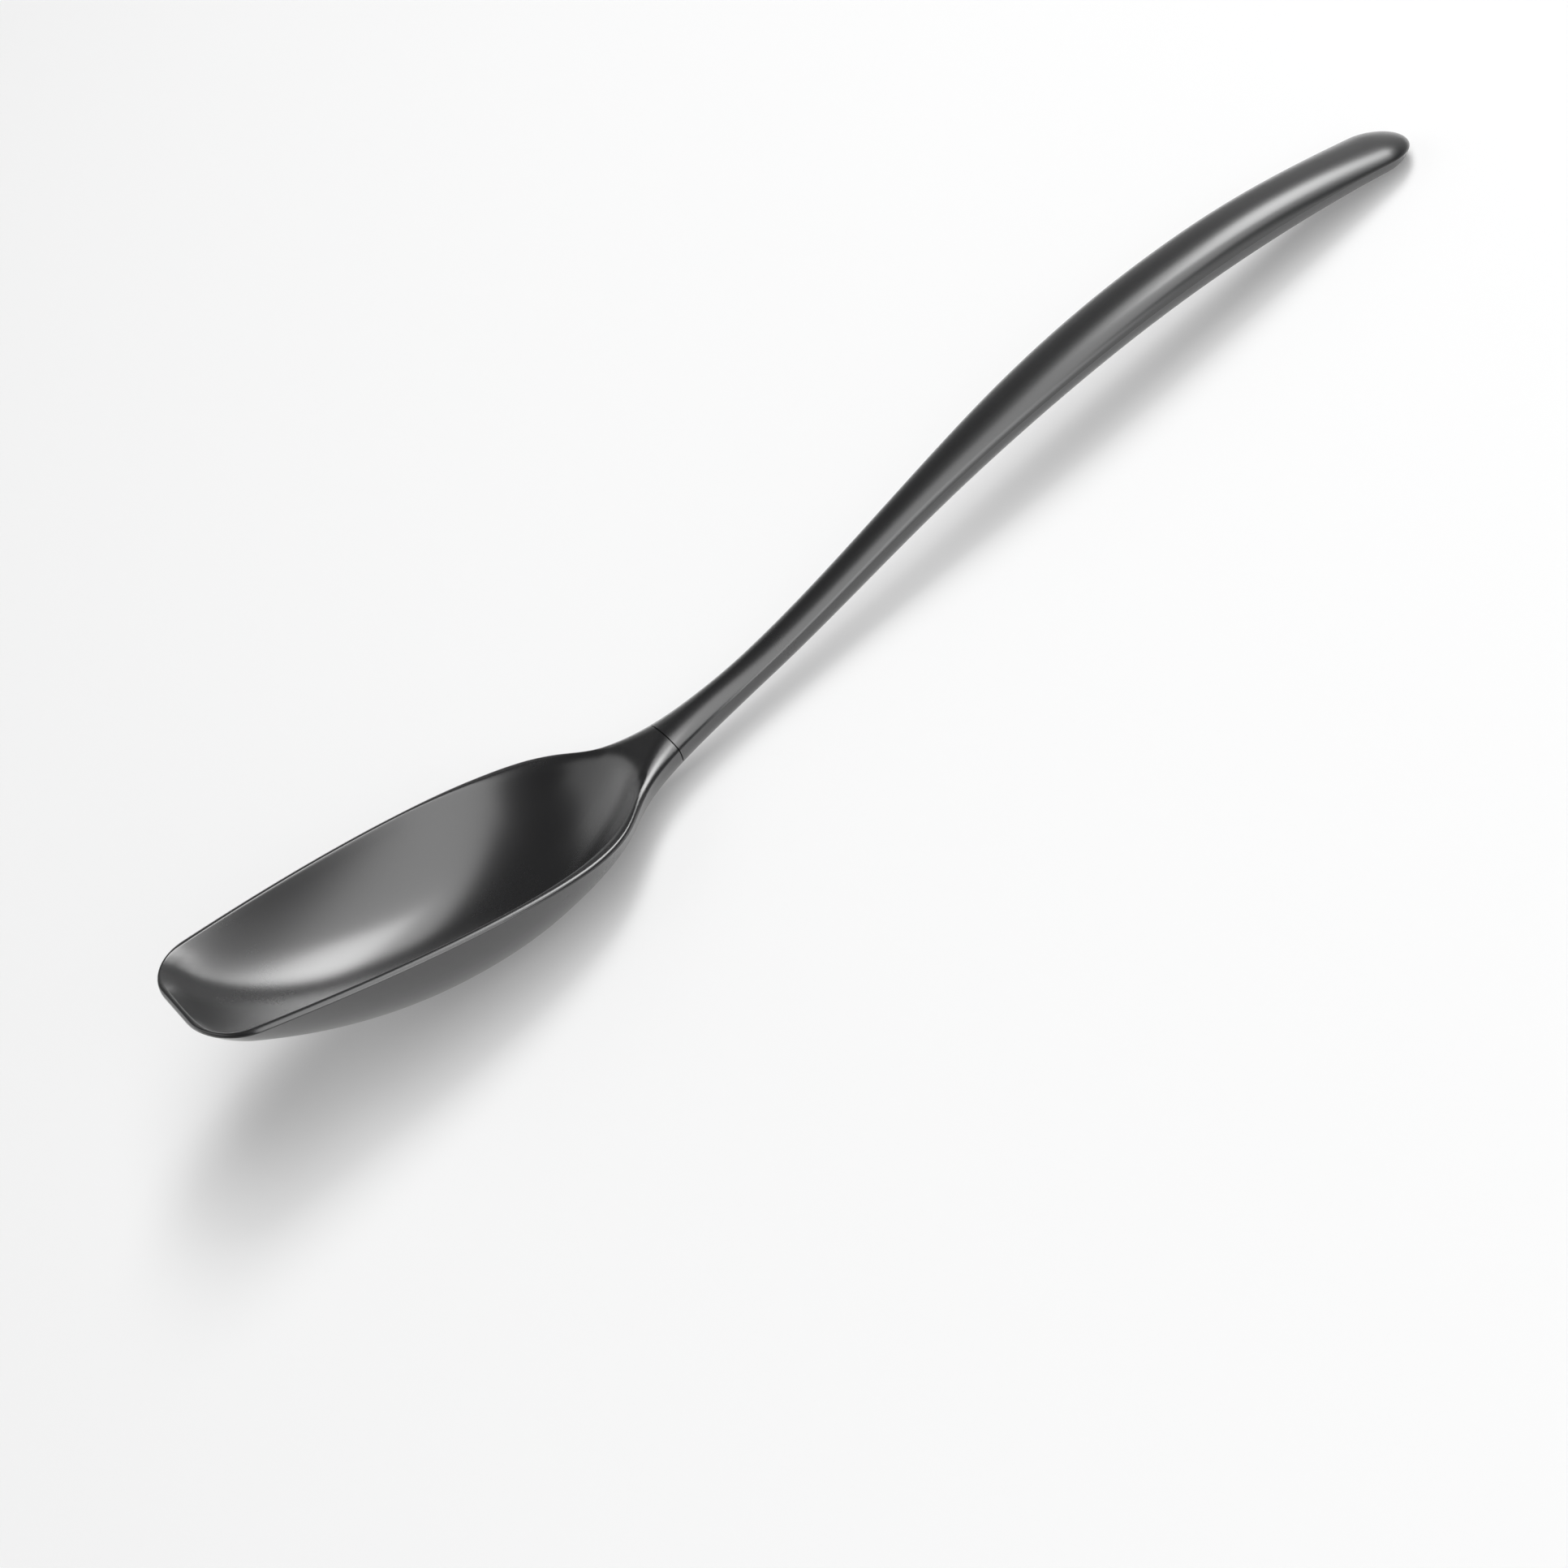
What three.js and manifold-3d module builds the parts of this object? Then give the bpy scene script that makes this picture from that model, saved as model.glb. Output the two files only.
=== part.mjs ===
// Cooking spoon with a scoop-shaped bowl and an arched handle, in millimetres.
// +Z is up, +X runs from the bowl to the handle's tip, and the spoon is symmetric about Y = 0.
// It is made of two mouldings: the bowl head ends in a tang, and the handle's socket fits over the tang.
import * as THREE from 'three';
import { mergeVertices } from 'three/addons/utils/BufferGeometryUtils.js';
import Module from 'manifold-3d';

// Stretches along the spoon, one after the other: inside of the bowl, web, neck, grip, tip
const BOWL_LENGTH = 102;
const WEB_LENGTH = 9;
const NECK_REACH = 24;
const GRIP_REACH = 118;
const TIP_REACH = 49;

// Outline seen from above
const BOWL_FRONT_WIDTH = 44.4;
const BOWL_WIDTH = 61.8;
const BOWL_WIDEST_AT = 60;
const SIDE_BOW_AT = 35;
const FRONT_ROUND_LENGTH = 10;
const FRONT_ROUND_INSET = 15.2;
const NECK_WIDTH = 9.3;
const GRIP_WIDTH = 18.1;
const TIP_WIDTH = 19;
const TIP_ROUND = 8;

// Side view: the arch carries the parting line, the crown stands above it and the keel hangs below
const RIM_EDGE = 0.8;
const ARCH_RISE = 48.5;
const ARCH_LEAD = 24.5;
const CROWN_LEAD = 10;
const SHOULDER_REACH = 5;
const SHOULDER_CROWN = 2.65;
const NECK_CROWN = 2.36;
const GRIP_CROWN = 4.9;
const TIP_CROWN = 3.2;
const FRONT_EDGE = 0.63;
const FRONT_LEAD = 6.2;
const FRONT_DROP = 8.25;
const BELLY_AT = 51;
const BELLY_KEEL = 18.7;
const NECK_KEEL = 4.1;
const GRIP_KEEL = 4.7;
const TIP_KEEL = 4.25;
const TIP_DROP = 7.5;

// Dish of the bowl
const SIDE_LAND = 1.8;
const FRONT_LAND = 1.2;
const BOWL_WALL = 2.4;
const REAR_LEAD = 8;
const REAR_DROP = 5.6;
const DISH_LIP = 0.25;

// Joint between the two mouldings
const SEAM_GAP = 0.3;
const TANG_LENGTH = 22;
const TANG_ROOT = 5;
const TANG_CLEARANCE = 0.3;
const SOCKET_WALL = 1.7;

// Depth of the flat that the belly rests on
const FOOT_DEPTH = 0.25;

// Shares of a sweep's run over which it leaves and reaches its stations
const SHOULDER_EASE = [0.69, 0.73];
const GRIP_EASE = [0.56, 0.59];
const TIP_EASE = [0.45, 0.44];
const ARCH_EASE = [0.335, 0.51];
const WEB_CROWN_EASE = [0.5, 0.45];
const NECK_CROWN_EASE = [0.45, 0.45];
const GRIP_CROWN_EASE = [0.2, 0.42];
const BELLY_EASE = 0.45;
const KEEL_EASE = [0.415, 0.64];
const DISH_EASE = 0.5;

// Fullness of the section curves: larger ones stay level farther out
const RIM_FULLNESS = 12;
const NECK_FULLNESS = 2;
const SHAFT_FULLNESS = 2.6;
const GRIP_FULLNESS = 2.2;
const FULLNESS_EASE = [0.2, 0.55];
const KEEL_FULLNESS = 2.62;
const DISH_FULLNESS = 2.4;
const TANG_SQUARENESS = 3;

// Steepness of the crown's edges: at a half they stand upright, and at 1 they run into a sharp crease
const RIM_POWER = 1 / RIM_FULLNESS;
const NECK_POWER = 0.65;
const GRIP_POWER = 0.5;
const TIP_POWER = 0.8;

// Facets and small steps of the calculation
const HEAD_SIDES = 56;
const HANDLE_SIDES = 36;
const DISH_SIDES = 36;
const TANG_SIDES = 20;
const CORNER_STEPS = 9;
const SIDE_STEPS = 12;
const SHOULDER_STEPS = 22;
const HANDLE_STEPS = 40;
const TIP_STEPS = 9;
const TANG_STEPS = 6;
const BISECTIONS = 40;
const SLOPE_STEP = 0.05;
const END_STEP = 0.02;
const OVERCUT = 4;
const STEEPEST_TILT = Math.PI / 4;

const MELAMINE_COLOR = 0x262628;
const MELAMINE_ROUGHNESS = 0.34;

// Stations measured from the bowl's front edge
const SEAM_AT = BOWL_LENGTH + WEB_LENGTH;
const NECK_AT = SEAM_AT + NECK_REACH;
const GRIP_AT = NECK_AT + GRIP_REACH;
const TIP_AT = GRIP_AT + TIP_REACH;
const ARCH_AT = BOWL_LENGTH - ARCH_LEAD;
const CROWN_AT = BOWL_LENGTH - CROWN_LEAD;
const SHOULDER_AT = SEAM_AT + SHOULDER_REACH;
const SHAFT_AT = (NECK_AT + GRIP_AT) / 2;

function point(at, value) {
  return new THREE.Vector2(at, value);
}

// An S-curve between two stations that is level at both
function sweep(start, end, [startEase, endEase]) {
  const run = end.x - start.x;
  const leaving = point(start.x + run * startEase, start.y);
  const reaching = point(end.x - run * endEase, end.y);
  return new THREE.CubicBezierCurve(start, leaving, reaching, end);
}

// Turns curves that follow one another into a function of the distance along the spoon
function profile(...curves) {
  return (at) => {
    const curve = curves.find((candidate) => at < candidate.getPoint(1).x) ?? curves.at(-1);
    let low = 0;
    let high = 1;
    for (let count = 0; count < BISECTIONS; count += 1) {
      const middle = (low + high) / 2;
      if (curve.getPoint(middle).x < at) {
        low = middle;
      } else {
        high = middle;
      }
    }
    return curve.getPoint(high).y;
  };
}

// Quarter-round factor: 0 at an end, 1 from the rounding's length inwards
function rounding(distance, length) {
  const left = 1 - THREE.MathUtils.clamp(distance / length, 0, 1);
  return Math.sqrt(1 - left * left);
}

const front = point(0, BOWL_FRONT_WIDTH / 2);
const widest = point(BOWL_WIDEST_AT, BOWL_WIDTH / 2);
const narrowest = point(NECK_AT, NECK_WIDTH / 2);
const grip = point(GRIP_AT, GRIP_WIDTH / 2);
const tip = point(TIP_AT, TIP_WIDTH / 2);

const bowlSide = new THREE.QuadraticBezierCurve(front, point(SIDE_BOW_AT, BOWL_WIDTH / 2), widest);
const outlineAt = profile(
  bowlSide,
  sweep(widest, narrowest, SHOULDER_EASE),
  sweep(narrowest, grip, GRIP_EASE),
  sweep(grip, tip, TIP_EASE),
);

const archAt = profile(sweep(point(ARCH_AT, 0), point(TIP_AT, ARCH_RISE), ARCH_EASE));

const crownProfileAt = profile(
  sweep(point(CROWN_AT, RIM_EDGE), point(SHOULDER_AT, SHOULDER_CROWN), WEB_CROWN_EASE),
  sweep(point(SHOULDER_AT, SHOULDER_CROWN), point(NECK_AT, NECK_CROWN), NECK_CROWN_EASE),
  sweep(point(NECK_AT, NECK_CROWN), point(GRIP_AT, GRIP_CROWN), GRIP_CROWN_EASE),
  sweep(point(GRIP_AT, GRIP_CROWN), point(TIP_AT, TIP_CROWN), TIP_EASE),
);

const belly = point(BELLY_AT, BELLY_KEEL);
const keelProfileAt = profile(
  new THREE.CubicBezierCurve(
    point(0, FRONT_EDGE),
    point(FRONT_LEAD, FRONT_EDGE + FRONT_DROP),
    point(BELLY_AT * (1 - BELLY_EASE), BELLY_KEEL),
    belly,
  ),
  sweep(belly, point(NECK_AT, NECK_KEEL), KEEL_EASE),
  sweep(point(NECK_AT, NECK_KEEL), point(GRIP_AT, GRIP_KEEL), GRIP_EASE),
  sweep(point(GRIP_AT, GRIP_KEEL), point(TIP_AT, TIP_KEEL), TIP_EASE),
);

const fullnessAt = profile(
  sweep(point(CROWN_AT, RIM_FULLNESS), point(SHOULDER_AT, NECK_FULLNESS), FULLNESS_EASE),
  sweep(point(NECK_AT, NECK_FULLNESS), point(SHAFT_AT, SHAFT_FULLNESS), GRIP_EASE),
  sweep(point(SHAFT_AT, SHAFT_FULLNESS), point(GRIP_AT, GRIP_FULLNESS), GRIP_EASE),
);
const powerAt = profile(
  sweep(point(CROWN_AT, RIM_POWER), point(SHOULDER_AT, NECK_POWER), FULLNESS_EASE),
  sweep(point(SHOULDER_AT, NECK_POWER), point(SHAFT_AT, GRIP_POWER), FULLNESS_EASE),
  sweep(point(GRIP_AT, GRIP_POWER), point(TIP_AT, TIP_POWER), TIP_EASE),
);

const dishDepth = RIM_EDGE + BELLY_KEEL - BOWL_WALL - DISH_LIP;
const dishDeepest = point(BELLY_AT, dishDepth);
const dishDepthAt = profile(
  new THREE.CubicBezierCurve(
    point(FRONT_LAND, 0),
    point(FRONT_LAND + FRONT_LEAD, FRONT_DROP),
    point(BELLY_AT * (1 - BELLY_EASE), dishDepth),
    dishDeepest,
  ),
  new THREE.CubicBezierCurve(
    dishDeepest,
    point(BELLY_AT + (BOWL_LENGTH - BELLY_AT) * DISH_EASE, dishDepth),
    point(BOWL_LENGTH - REAR_LEAD, REAR_DROP),
    point(BOWL_LENGTH, 0),
  ),
);

function halfWidthAt(at) {
  const corner = FRONT_ROUND_INSET * (1 - rounding(at, FRONT_ROUND_LENGTH));
  return (outlineAt(at) - corner) * rounding(TIP_AT - at, TIP_ROUND);
}

function crownAt(at) {
  return crownProfileAt(at) * rounding(TIP_AT - at, TIP_DROP);
}

function keelAt(at) {
  return keelProfileAt(at) * rounding(TIP_AT - at, TIP_DROP);
}

// The dish keeps a land inside the outline, and its rear half closes as a half ellipse
function dishHalfWidthAt(at) {
  if (at > BOWL_WIDEST_AT) {
    const rear = rounding(BOWL_LENGTH - at, BOWL_LENGTH - BOWL_WIDEST_AT);
    return (BOWL_WIDTH / 2 - SIDE_LAND) * rear;
  }
  const inset = FRONT_ROUND_INSET - SIDE_LAND;
  const corner = inset * (1 - rounding(at - FRONT_LAND, FRONT_ROUND_LENGTH - FRONT_LAND));
  return outlineAt(at) - SIDE_LAND - corner;
}

// A point of the section at a station: sideways along Y, and upwards square to the arch
function place(at, sideways, upwards) {
  const rise = archAt(at + SLOPE_STEP) - archAt(at - SLOPE_STEP);
  const normal = new THREE.Vector2(-rise, 2 * SLOPE_STEP).normalize();
  return new THREE.Vector3(at + normal.x * upwards, sideways, archAt(at) + normal.y * upwards);
}

// Section of the outer form: crown and keel meet in a crease along the parting line
function outerRing(at, sides) {
  const fullness = fullnessAt(at);
  const power = powerAt(at);
  const ring = [];
  for (let side = 0; side < sides; side += 1) {
    const angle = (2 * Math.PI * side) / sides;
    const across = Math.cos(angle);
    const share = Math.abs(across);
    const crown = crownAt(at) * (1 - share ** fullness) ** power;
    const keel = keelAt(at) * (1 - share ** KEEL_FULLNESS);
    ring.push(place(at, halfWidthAt(at) * across, angle < Math.PI ? crown : -keel));
  }
  return ring;
}

// Section of the dish, open above: its curve hangs from the rim's lip, and the ring closes over the rim
function dishRing(at) {
  const halfWidth = dishHalfWidthAt(at);
  const rim = crownProfileAt(at);
  const ring = [place(at, halfWidth, rim + OVERCUT), place(at, -halfWidth, rim + OVERCUT)];
  for (let side = 0; side <= DISH_SIDES; side += 1) {
    const across = -Math.cos((Math.PI * side) / DISH_SIDES);
    const depth = dishDepthAt(at) * (1 - Math.abs(across) ** DISH_FULLNESS);
    ring.push(place(at, halfWidth * across, rim - DISH_LIP - depth));
  }
  return ring;
}

// Section of the tang, at the middle of the neck's height, or of the socket with a clearance
const neckHeight = crownProfileAt(NECK_AT) + NECK_KEEL;
const tangHalfWidth = NECK_WIDTH / 2 - SOCKET_WALL - TANG_CLEARANCE;
const tangHalfHeight = neckHeight / 2 - SOCKET_WALL - TANG_CLEARANCE;
function tangRing(at, clearance) {
  const middle = (crownProfileAt(at) - keelProfileAt(at)) / 2;
  const ring = [];
  for (let side = 0; side < TANG_SIDES; side += 1) {
    const angle = (2 * Math.PI * side) / TANG_SIDES;
    const across = Math.sign(Math.cos(angle)) * Math.abs(Math.cos(angle)) ** (2 / TANG_SQUARENESS);
    const up = Math.sign(Math.sin(angle)) * Math.abs(Math.sin(angle)) ** (2 / TANG_SQUARENESS);
    const sideways = (tangHalfWidth + clearance) * across;
    ring.push(place(at, sideways, middle + (tangHalfHeight + clearance) * up));
  }
  return ring;
}

// Distances between two stations: evenly spaced, or closing up towards a rounded end
function evenly(start, end, steps) {
  return Array.from({ length: steps }, (_, step) => THREE.MathUtils.lerp(start, end, step / steps));
}

function closingUpFrom(start, end, steps) {
  return Array.from({ length: steps }, (_, step) => {
    const share = 1 - Math.cos((Math.PI / 2) * (step / steps));
    return THREE.MathUtils.lerp(start, end, share);
  });
}

function closingUpTo(start, end, steps) {
  return Array.from({ length: steps }, (_, step) => {
    const share = Math.sin((Math.PI / 2) * (step / steps));
    return THREE.MathUtils.lerp(start, end, share);
  });
}

// A closed skin through rings of points that turn from +Y to +Z, with a fan of faces at each end
function loft(rings) {
  const sides = rings[0].length;
  const vertices = rings.flat();
  const faces = [];
  for (let row = 0; row + 1 < rings.length; row += 1) {
    for (let side = 0; side < sides; side += 1) {
      const next = (side + 1) % sides;
      const a = row * sides + side;
      const b = row * sides + next;
      faces.push(a, b, b + sides, a, b + sides, a + sides);
    }
  }
  const lastRow = (rings.length - 1) * sides;
  const startCentre = vertices.push(centreOf(rings[0])) - 1;
  const endCentre = vertices.push(centreOf(rings.at(-1))) - 1;
  for (let side = 0; side < sides; side += 1) {
    const next = (side + 1) % sides;
    faces.push(startCentre, next, side, endCentre, lastRow + side, lastRow + next);
  }
  const geometry = new THREE.BufferGeometry().setFromPoints(vertices);
  geometry.setIndex(faces);
  return geometry;
}

function centreOf(ring) {
  const sum = ring.reduce((total, vertex) => total.add(vertex), new THREE.Vector3());
  return sum.divideScalar(ring.length);
}

const wasm = await Module();
wasm.setup();

function solidOf(geometry) {
  const vertProperties = new Float32Array(geometry.getAttribute('position').array);
  const triVerts = new Uint32Array(geometry.getIndex().array);
  return new wasm.Manifold(new wasm.Mesh({ numProp: 3, vertProperties, triVerts }));
}

function geometryOf(solid) {
  const { vertProperties, triVerts } = solid.getMesh();
  const geometry = new THREE.BufferGeometry();
  geometry.setAttribute('position', new THREE.BufferAttribute(vertProperties, 3));
  geometry.setIndex(new THREE.BufferAttribute(triVerts, 1));
  geometry.computeVertexNormals();
  return geometry;
}

function makeBowlHead() {
  const end = SEAM_AT - SEAM_GAP / 2;
  const stations = [
    ...closingUpFrom(0, FRONT_ROUND_LENGTH, CORNER_STEPS),
    ...evenly(FRONT_ROUND_LENGTH, BOWL_WIDEST_AT, SIDE_STEPS),
    ...evenly(BOWL_WIDEST_AT, end, SHOULDER_STEPS),
    end,
  ];
  return solidOf(loft(stations.map((at) => outerRing(at, HEAD_SIDES))));
}

function makeDish() {
  const stations = [
    ...closingUpFrom(FRONT_LAND, FRONT_ROUND_LENGTH, CORNER_STEPS),
    ...evenly(FRONT_ROUND_LENGTH, BOWL_WIDEST_AT, SIDE_STEPS),
    ...closingUpTo(BOWL_WIDEST_AT, BOWL_LENGTH, SHOULDER_STEPS),
    BOWL_LENGTH - END_STEP,
  ];
  return solidOf(loft(stations.map(dishRing)));
}

function makeTang(start, end, clearance) {
  const stations = [...evenly(start, end, TANG_STEPS), end];
  return solidOf(loft(stations.map((at) => tangRing(at, clearance))));
}

function makeHandle() {
  const start = SEAM_AT + SEAM_GAP / 2;
  const tipStart = TIP_AT - TIP_ROUND;
  const stations = [
    ...evenly(start, tipStart, HANDLE_STEPS),
    ...closingUpTo(tipStart, TIP_AT, TIP_STEPS),
    TIP_AT - END_STEP,
  ];
  return solidOf(loft(stations.map((at) => outerRing(at, HANDLE_SIDES))));
}

function boxOf(geometry, turn) {
  const vertices = geometry.getAttribute('position').clone().applyMatrix4(turn);
  return new THREE.Box3().setFromBufferAttribute(vertices);
}

// Tilt at which the belly's flat and the underside of the handle's tip rest on the same table
function restTilt(headGeometry, handleGeometry) {
  let low = 0;
  let high = STEEPEST_TILT;
  for (let count = 0; count < BISECTIONS; count += 1) {
    const tilt = (low + high) / 2;
    const turn = new THREE.Matrix4().makeRotationY(tilt);
    const footHeight = boxOf(headGeometry, turn).min.z + FOOT_DEPTH;
    if (footHeight < boxOf(handleGeometry, turn).min.z) {
      low = tilt;
    } else {
      high = tilt;
    }
  }
  return high;
}

const tang = makeTang(SEAM_AT - TANG_ROOT, SEAM_AT + TANG_LENGTH, 0);
const socketEnd = SEAM_AT + TANG_LENGTH + TANG_CLEARANCE;
const socket = makeTang(SEAM_AT - TANG_ROOT, socketEnd, TANG_CLEARANCE);
const roundBowlHead = makeBowlHead().subtract(makeDish()).add(tang);
const handleGeometry = geometryOf(makeHandle().subtract(socket));

// Rests the spoon on the table, Z = 0, with the middle of its length over the origin
const spoon = new THREE.Group();
spoon.rotation.y = restTilt(geometryOf(roundBowlHead), handleGeometry);
const turn = new THREE.Matrix4().makeRotationY(spoon.rotation.y);
const headBox = boxOf(geometryOf(roundBowlHead), turn);
const handleBox = boxOf(handleGeometry, turn);
spoon.position.set(-(headBox.min.x + handleBox.max.x) / 2, 0, -handleBox.min.z);
spoon.updateMatrix();

// Cuts the belly's flat along the table
const tableGeometry = new THREE.BoxGeometry(BOWL_LENGTH, BOWL_WIDTH, OVERCUT);
tableGeometry.translate(headBox.min.x + spoon.position.x + BELLY_AT, 0, -OVERCUT / 2);
tableGeometry.deleteAttribute('normal');
tableGeometry.deleteAttribute('uv');
tableGeometry.applyMatrix4(spoon.matrix.clone().invert());
const headGeometry = geometryOf(roundBowlHead.subtract(solidOf(mergeVertices(tableGeometry))));

function addPiece(name, geometry) {
  const material = new THREE.MeshStandardMaterial({
    color: MELAMINE_COLOR,
    roughness: MELAMINE_ROUGHNESS,
    metalness: 0,
  });
  const mesh = new THREE.Mesh(geometry, material);
  mesh.name = name;
  spoon.add(mesh);
}

addPiece('bowl_head', headGeometry);
addPiece('handle', handleGeometry);

const part = new THREE.Group();
part.add(spoon);

export default part;
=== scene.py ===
"""Cooking spoon in charcoal melamine: a scoop-shaped bowl and an arched handle, on a stage."""

import math

import bmesh
import bpy
import numpy as np
from bpy.props import FloatProperty, FloatVectorProperty, PointerProperty
from mathutils import Matrix, Vector


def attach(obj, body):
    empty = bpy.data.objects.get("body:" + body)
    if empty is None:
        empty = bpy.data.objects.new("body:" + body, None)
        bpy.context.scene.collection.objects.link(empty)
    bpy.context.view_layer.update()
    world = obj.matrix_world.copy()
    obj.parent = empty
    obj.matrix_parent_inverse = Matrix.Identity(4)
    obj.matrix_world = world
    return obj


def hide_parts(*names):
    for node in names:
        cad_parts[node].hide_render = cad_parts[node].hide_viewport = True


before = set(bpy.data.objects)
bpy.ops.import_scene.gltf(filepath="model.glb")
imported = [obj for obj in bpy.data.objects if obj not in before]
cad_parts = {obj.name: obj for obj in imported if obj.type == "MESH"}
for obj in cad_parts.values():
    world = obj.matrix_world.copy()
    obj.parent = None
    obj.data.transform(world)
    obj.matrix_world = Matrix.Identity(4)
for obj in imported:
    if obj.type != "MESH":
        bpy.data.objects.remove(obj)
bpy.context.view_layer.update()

bl_info = {
    "name": "Cooking Spoon",
    "version": (1, 0, 0),
    "blender": (4, 5, 0),
    "location": "3D View > Sidebar > Spoon",
    "description": "Builds a melamine cooking spoon and a pale studio stage for it",
    "category": "Add Mesh",
}

MM = 0.001
SENSOR_WIDTH = 36

# Shares of a sweep's run over which it leaves and reaches its stations
SHOULDER_EASE = (0.69, 0.73)
GRIP_EASE = (0.56, 0.59)
TIP_EASE = (0.45, 0.44)
TIP_CROWN_EASE = (0.5, 0.1)
ARCH_EASE = (0.335, 0.51)
WEB_CROWN_EASE = (0.5, 0.45)
NECK_CROWN_EASE = (0.45, 0.45)
GRIP_CROWN_EASE = (0.2, 0.42)
POWER_EASE = (0.4, 0.5)
KEEL_EASE = (0.415, 0.64)
BELLY_EASE = 0.45
DISH_EASE = 0.5

# Fullness of the section curves: larger ones stay level farther out
NECK_FULLNESS = 2
SHAFT_FULLNESS = 2.4
TIP_FULLNESS = 2.2
KEEL_FULLNESS = 2.62
DISH_FULLNESS = 2.4
TANG_SQUARENESS = 3

# Steepness of the crown's edges: at a half they stand upright, and at 1 they form a sharp crease
RIM_POWER = 0.5
NECK_POWER = 0.65
GRIP_POWER = 0.42
TIP_POWER = 0.6

# Counts of edges along and around the forms
CURVE_STEPS = 400
FRONT_EDGES = 6
CORNER_EDGES = 14
SIDE_EDGES = 26
SHOULDER_EDGES = 36
SEAM_EDGES = 12
DISH_LOOPS = 30
BELLY_LOOPS = 44
LIP_LOOPS = 6
RIM_LOOPS = 16
BISECTIONS = 40
HANDLE_SIDES = 72
HANDLE_LOOPS = 90
TIP_LOOPS = 18
TANG_LOOPS = 6
FLOOR_SIDES = 96
COVE_LOOPS = 10

# How far out the first loop stands, and how the loops close up towards the outline
FIRST_SHARE = 0.03
BELLY_CLOSING = 1.6
RIM_CLOSING = 2.2
SHARP_ANGLE = math.radians(20)

# Half the run over which the arch's slope is taken, and what the last ring leaves of the tip
SLOPE_STEP = 0.05 * MM
END_STEP = 0.004 * MM
# Largest share of the rim's land that the lip's rounding takes
LIP_LIMIT = 0.5

# Features per metre and detail of the melamine's noises
CLOUDS = (70, 4)
FLECKS = (1900, 1)
HANDLING = (28, 5)
GRAIN = (2600, 2)
RIPPLE = (240, 1)
NOISE_ROUGHNESS = 0.55

# What the noises add to the colour, to the roughness and to the fine relief
CLOUD_SHARE = 0.6
FLECK_SHARE = 0.4
HANDLING_ROUGHNESS = 0.06
FLECK_ROUGHNESS = 0.01
GRAIN_SHARE = 0.1
RELIEF_STRENGTH = 0.07
RELIEF_HEIGHT = 0.01 * MM

# Stretch of the handle over which the surface grows duller, and by how much
DULL_FROM = -40 * MM
DULL_TO = 60 * MM
GRIP_DULLNESS = 0.08

# Stage, in metres
FLOOR_RADIUS = 3.4
COVE_RADIUS = 2.2
FLOOR_GAP = 0.05 * MM

# Place, azimuth of the length in degrees, width and length of each soft lamp, in metres
LAMPS = {
    "overhead": ((0.41, -0.52, 1.47), 67, 1.2, 4.6),
    "front": ((0.1, -1.93, 0.5), 93, 0.93, 0.93),
    "accent": ((0.9, 0.5, 1.2), 58, 0.5, 1.05),
    "fill": ((-1.13, 1.2, 1.12), 157, 2.2, 1.2),
}


def size(name, description, millimetres):
    """A property for one of the spoon's real sizes."""
    return FloatProperty(
        name=name,
        description=description,
        default=millimetres * MM,
        min=0,
        unit="LENGTH",
        precision=5,
    )


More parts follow.
